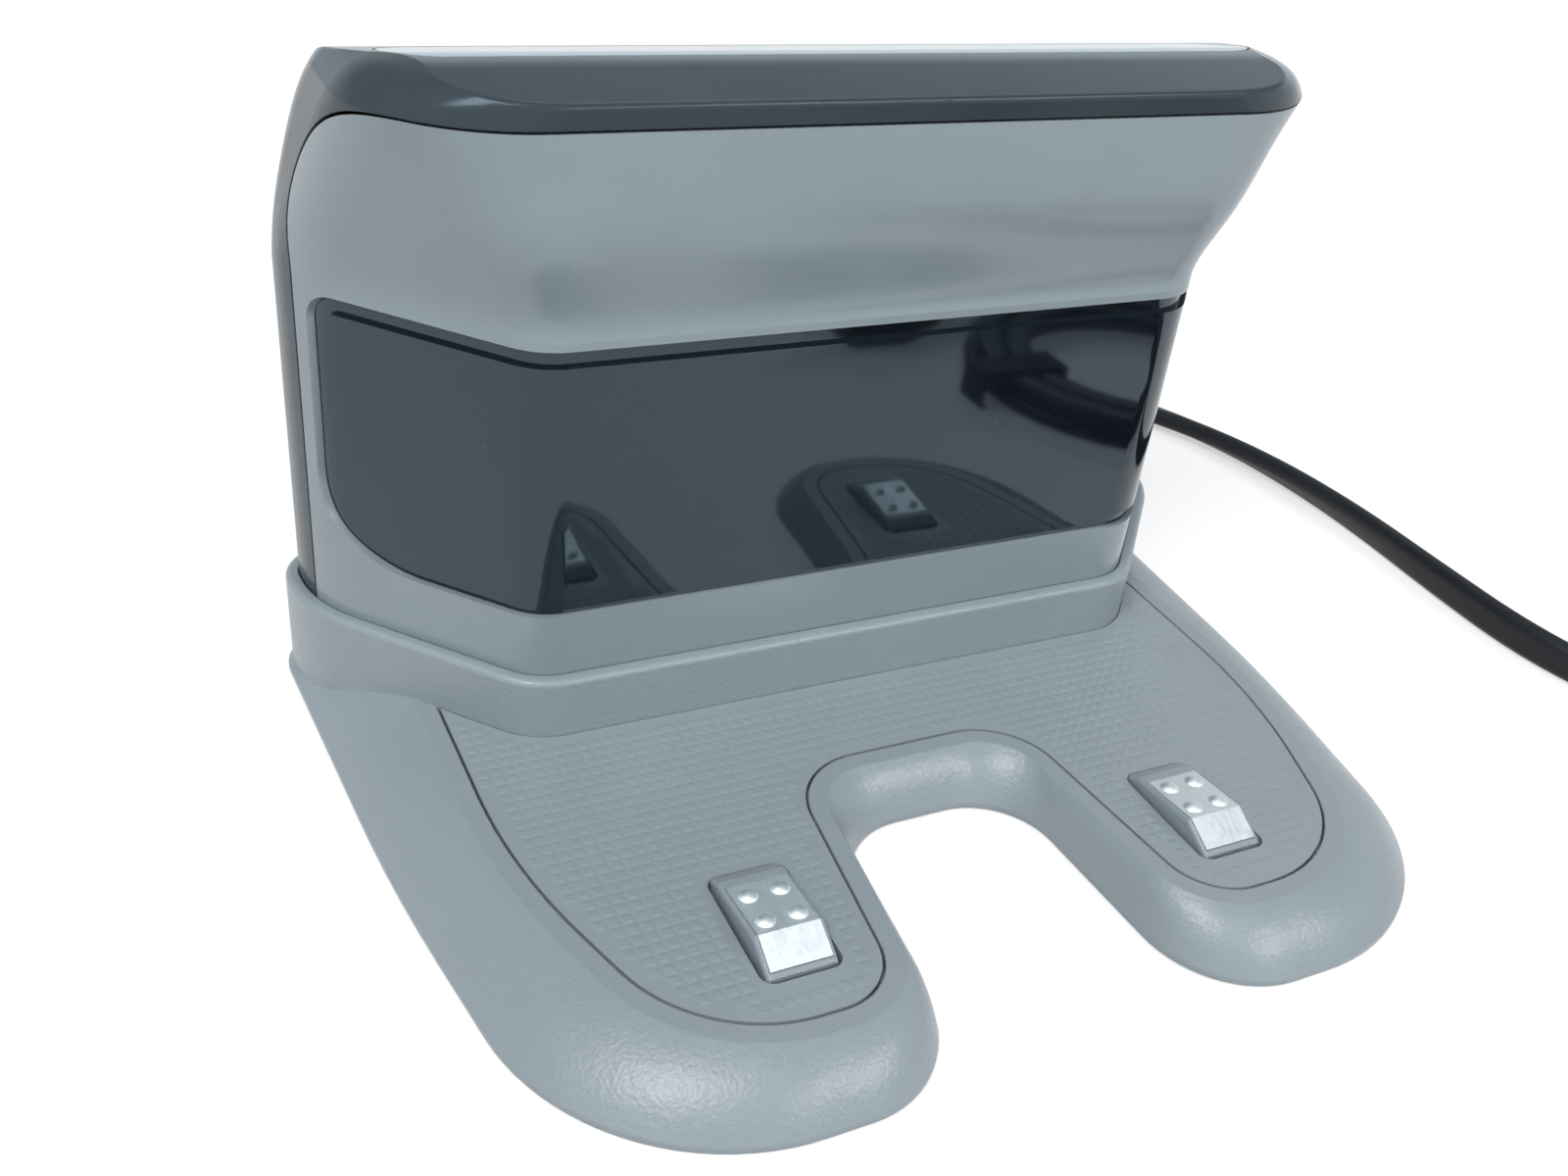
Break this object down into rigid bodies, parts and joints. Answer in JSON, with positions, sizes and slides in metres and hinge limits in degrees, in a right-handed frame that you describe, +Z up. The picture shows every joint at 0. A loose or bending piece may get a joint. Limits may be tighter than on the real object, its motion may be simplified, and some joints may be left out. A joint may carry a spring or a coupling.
{
  "type": "robot vacuum charging dock",
  "caption": "Floor charging dock for a robot vacuum: flared tower with a wrapped infrared window on a notched tray with sprung contact pads and a mains cord",
  "frame": {"origin": "bottom centre of the dock without its cord, on the floor", "axes": "X across the dock, longest side; front faces -Y, towards the robot; Z up"},
  "size_m": [0.2424, 0.2538, 0.0943],
  "materials": {
    "tray_plastic": "finely textured",
    "tread_plastic": "fine square grip pattern",
    "housing_plastic": "satin",
    "casing_plastic": "polished",
    "inlay_plastic": "pale, polished",
    "window_plastic": "dark, passes infrared light",
    "black_plastic": "moulded",
    "rubber": "soft",
    "steel": "plated",
    "nickel": "nickel plated",
    "brass": "stamped strip",
    "lead_plastic": "insulated wire",
    "board": "solder mask",
    "emitter": "clear resin",
    "winding": "taped winding",
    "can": "sleeved can",
    "connector": "moulded",
    "ribbon": "flat ribbon",
    "cord_rubber": "smooth sheath"
  },
  "bodies": {
    "dock": {"base_tray": "tray_plastic", "tread_plate": "tread_plastic", "bottom_cover": "black_plastic", "rubber_feet": "rubber", "cover_screws": "steel", "tower_screws": "steel", "front_housing": "housing_plastic", "ir_window": "window_plastic", "rear_casing": "casing_plastic", "top_inlay": "inlay_plastic", "contact_spring_left": "steel", "contact_spring_right": "steel", "contact_pins": "steel", "spring_terminals": "brass", "contact_leads": "lead_plastic", "control_board": "board", "board_screws": "steel", "led_holder": "black_plastic", "ir_leds": "emitter", "power_board": "board", "power_transformer": "winding", "power_capacitors": "can", "mains_terminal": "connector", "mains_tail": "lead_plastic", "board_link": "ribbon", "link_connectors": "connector", "cord_gland": "cord_rubber", "cord_run": "cord_rubber", "cord_coil": "cord_rubber", "cord_tie": "rubber", "cord_tail": "cord_rubber", "plug_body": "cord_rubber", "plug_pins": "nickel"},
    "contact_left": {"contact_carrier_left": "tray_plastic", "contact_plate_left": "nickel"},
    "contact_right": {"contact_carrier_right": "tray_plastic", "contact_plate_right": "nickel"}
  },
  "joints": [
    {"name": "contact_left_press", "type": "hinge", "parent": "dock", "child": "contact_left", "pos_m": [-0.0315, -0.0226, 0.0052], "axis": [1, 0, 0], "range_deg": [0, 9], "stiffness_Nm_per_rad": 0.05, "springref_deg": -14.32, "deforming": ["contact_spring_left"]},
    {"name": "contact_right_press", "type": "hinge", "parent": "dock", "child": "contact_right", "pos_m": [0.0315, -0.0226, 0.0052], "axis": [1, 0, 0], "range_deg": [0, 9], "stiffness_Nm_per_rad": 0.05, "springref_deg": -14.32, "deforming": ["contact_spring_right"]}
  ]
}
